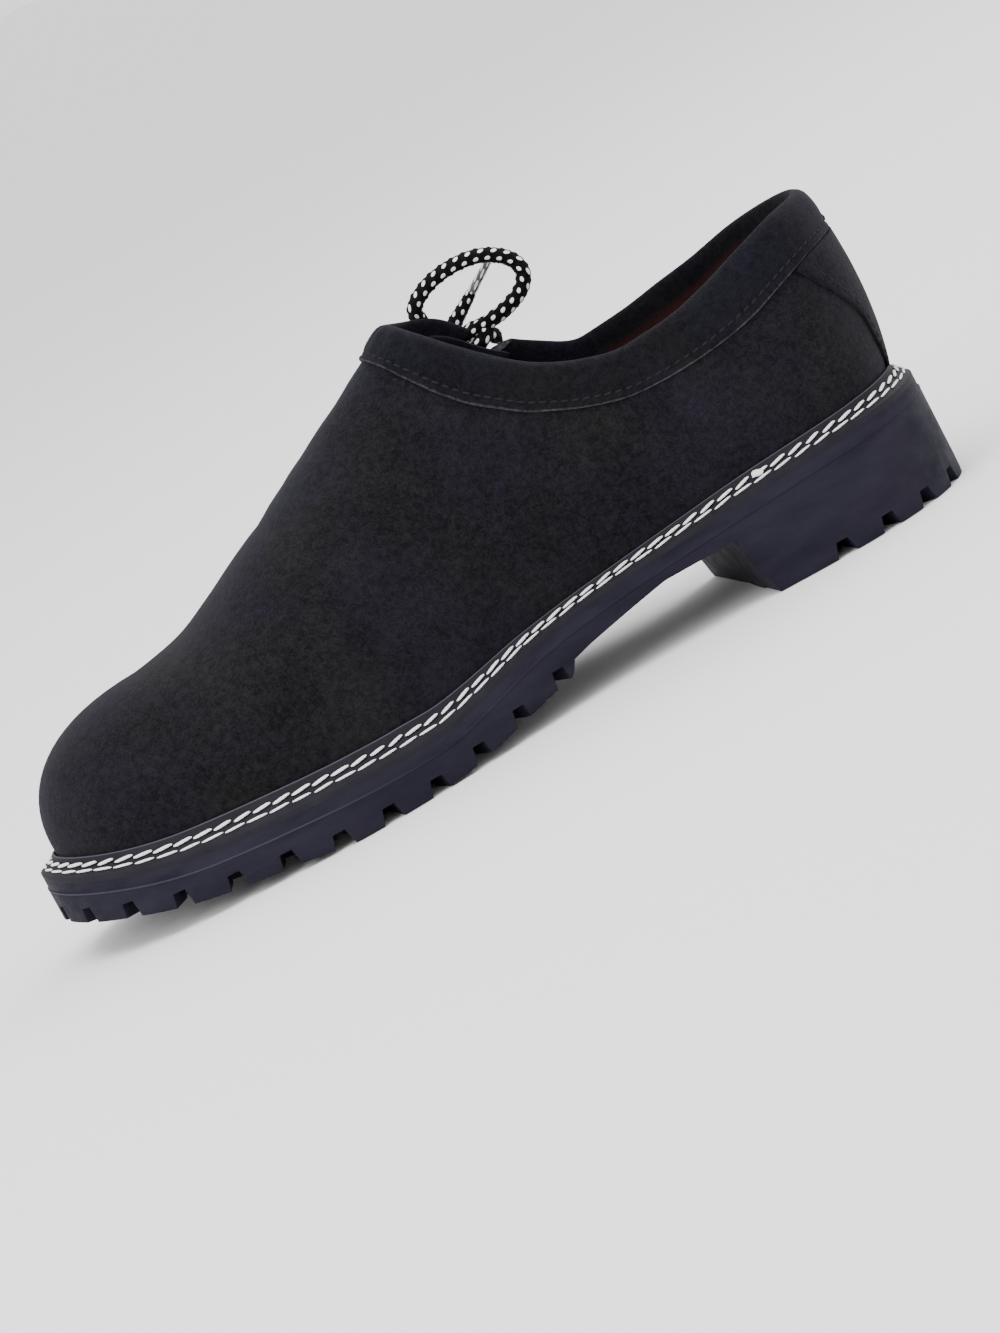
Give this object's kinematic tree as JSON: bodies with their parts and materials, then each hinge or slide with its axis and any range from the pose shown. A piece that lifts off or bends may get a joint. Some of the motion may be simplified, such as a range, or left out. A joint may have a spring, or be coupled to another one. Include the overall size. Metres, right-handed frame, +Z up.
{
  "type": "traditional shoe",
  "caption": "Low suede folk shoe for the right foot: padded collar, side slit tied by a round lace in a bow, stitched welt and a lugged rubber sole with a heel.",
  "frame": {"origin": "middle of the box around the shoe, on the floor under the sole", "axes": "+X along the foot towards the toe, +Y to the foot's inner (medial) side, +Z up"},
  "size_m": [0.3002, 0.1142, 0.1257],
  "materials": {
    "black_suede": "napped, matt",
    "collar_suede": "napped, matt, padded",
    "lining": "smooth, worn",
    "welt": "satin",
    "midsole": "satin, side wall",
    "outsole": "matt, moulded",
    "lace": "round braid with light flecks",
    "aglet": "clear, over the braid"
  },
  "bodies": {
    "root": {"upper": "black_suede", "heel_stay": "black_suede", "collar": "collar_suede", "tongue": "lining", "insole": "lining", "welt": "welt", "midsole": "midsole", "outsole": "outsole", "lace_bar_lower": "lace", "lace_knot": "lace", "lace_loop_medial": "lace", "lace_loop_lateral": "lace", "lace_end_medial": "lace", "lace_end_lateral": "lace", "aglet_medial": "aglet", "aglet_lateral": "aglet"}
  },
  "joints": []
}
